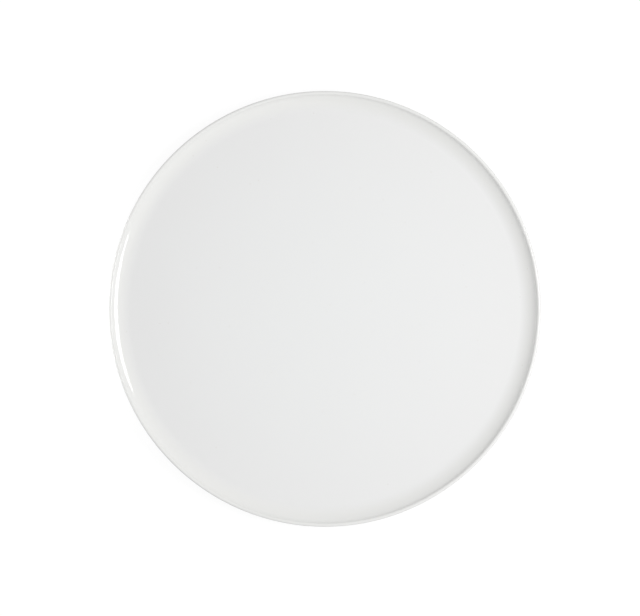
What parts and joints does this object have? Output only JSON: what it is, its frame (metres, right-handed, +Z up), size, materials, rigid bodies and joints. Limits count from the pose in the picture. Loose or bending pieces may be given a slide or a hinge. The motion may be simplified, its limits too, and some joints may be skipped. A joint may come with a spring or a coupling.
{
  "type": "charger plate",
  "caption": "Round white glazed porcelain charger plate with a flat well, a low rim that curves up to a rounded lip, and a ringed foot, to set under a dinner plate.",
  "frame": {"origin": "centre of the circle that the outer foot ring stands on, at table height", "axes": "+Z up along the plate's axis; the plate is round, so X and Y are any two directions across it"},
  "size_m": [0.32, 0.32, 0.0159],
  "materials": {
    "porcelain": "unglazed, ground smooth",
    "glaze": "glossy white"
  },
  "bodies": {
    "root": {"porcelain_body": "porcelain", "face_glaze": "glaze", "channel_glaze": "glaze", "centre_glaze": "glaze"}
  },
  "joints": []
}
